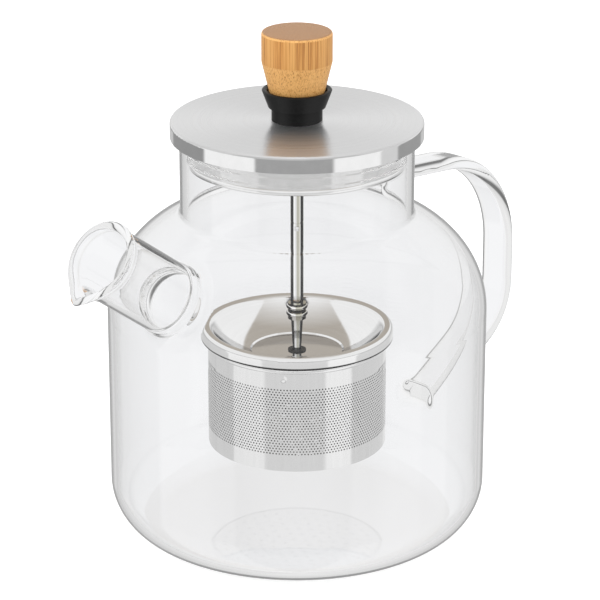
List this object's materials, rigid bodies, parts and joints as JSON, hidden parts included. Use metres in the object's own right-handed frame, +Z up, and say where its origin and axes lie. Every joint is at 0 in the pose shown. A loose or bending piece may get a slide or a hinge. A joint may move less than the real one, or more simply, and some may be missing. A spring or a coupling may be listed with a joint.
{
  "type": "glass teapot",
  "caption": "Clear glass teapot with a short spout, ribbon handle, steel lid, and a bamboo knob on a rod that raises a perforated steel infuser basket.",
  "frame": {"origin": "centre of the pot's resting face", "axes": "+Z up along the pot's axis, +X towards the handle, -X towards the spout"},
  "size_m": [0.2407, 0.15, 0.2043],
  "materials": {
    "glass": "clear blown borosilicate",
    "steel_brushed": "circular brushed stainless",
    "steel_polished": "mirror polished stainless",
    "silicone_black": "matte silicone",
    "silicone_clear": "translucent silicone",
    "bamboo": "oiled bamboo",
    "brass": "turned brass"
  },
  "bodies": {
    "pot": {"glass_pot": "glass", "glass_spout": "glass", "glass_handle": "glass"},
    "lid": {"lid_cap": "steel_brushed", "lid_plug": "steel_brushed", "lid_seal": "silicone_clear", "knob_seat": "silicone_black", "plug_bush": "silicone_black"},
    "plunger": {"knob": "bamboo", "knob_insert": "brass", "rod_stud": "steel_polished", "rod": "steel_polished", "ferrule": "steel_polished", "rod_tip": "steel_polished", "tip_button": "steel_polished", "catch_spring": "steel_polished"},
    "catch": {"catch_nub": "steel_polished"},
    "cover": {"infuser_cover": "steel_polished", "cover_grommet": "silicone_black", "cover_skirt": "steel_polished"},
    "basket": {"basket_wall": "steel_brushed", "basket_rim": "steel_polished", "basket_floor": "steel_brushed"}
  },
  "joints": [
    {"name": "lid_lift", "type": "slide", "parent": "pot", "child": "lid", "axis": [0, 0, 1], "range_m": [0, 0.14]},
    {"name": "plunger_lift", "type": "slide", "parent": "lid", "child": "plunger", "axis": [0, 0, 1], "range_m": [0, 0.0565]},
    {"name": "catch_press", "type": "slide", "parent": "plunger", "child": "catch", "axis": [0.7431, 0.6691, 0], "range_m": [0, 0.0006], "stiffness_N_per_m": 600, "springref_m": -0.0004, "deforming": ["catch_spring"]},
    {"name": "infuser_turn", "type": "hinge", "parent": "plunger", "child": "cover", "pos_m": [0, 0, 0.0725], "axis": [0, 0, 1], "continuous": true},
    {"name": "basket_drop", "type": "slide", "parent": "cover", "child": "basket", "axis": [0, 0, -1], "range_m": [0, 0.03]}
  ]
}
